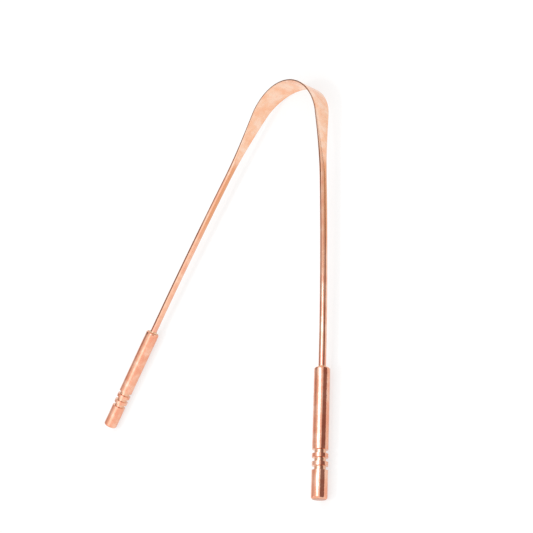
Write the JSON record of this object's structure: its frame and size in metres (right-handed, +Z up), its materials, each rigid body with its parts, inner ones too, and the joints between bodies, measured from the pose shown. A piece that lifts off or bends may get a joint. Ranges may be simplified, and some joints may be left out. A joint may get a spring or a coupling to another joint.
{
  "type": "tongue scraper",
  "caption": "U-shaped tongue scraper: a copper wire bow flattened into a curved scraping blade, with slim turned handles on its ends.",
  "frame": {"origin": "middle of the bounding box's bottom, on the table that the scraper lies on", "axes": "+Z up from the table; +Y towards the top of the arch, with the handles towards -Y; +X to the right handle. The bow's own plane tips 0.89 degrees about X, arch end up, so that the blade's lower edge and both handles touch the table"},
  "size_m": [0.1292, 0.1366, 0.0092],
  "materials": {
    "copper_wire": null,
    "turned_copper": null,
    "brazing_metal": "satin, as brazed and polished over"
  },
  "bodies": {
    "root": {"bow": "copper_wire", "left_handle": "turned_copper", "right_handle": "turned_copper", "left_braze": "brazing_metal", "right_braze": "brazing_metal"}
  },
  "joints": []
}
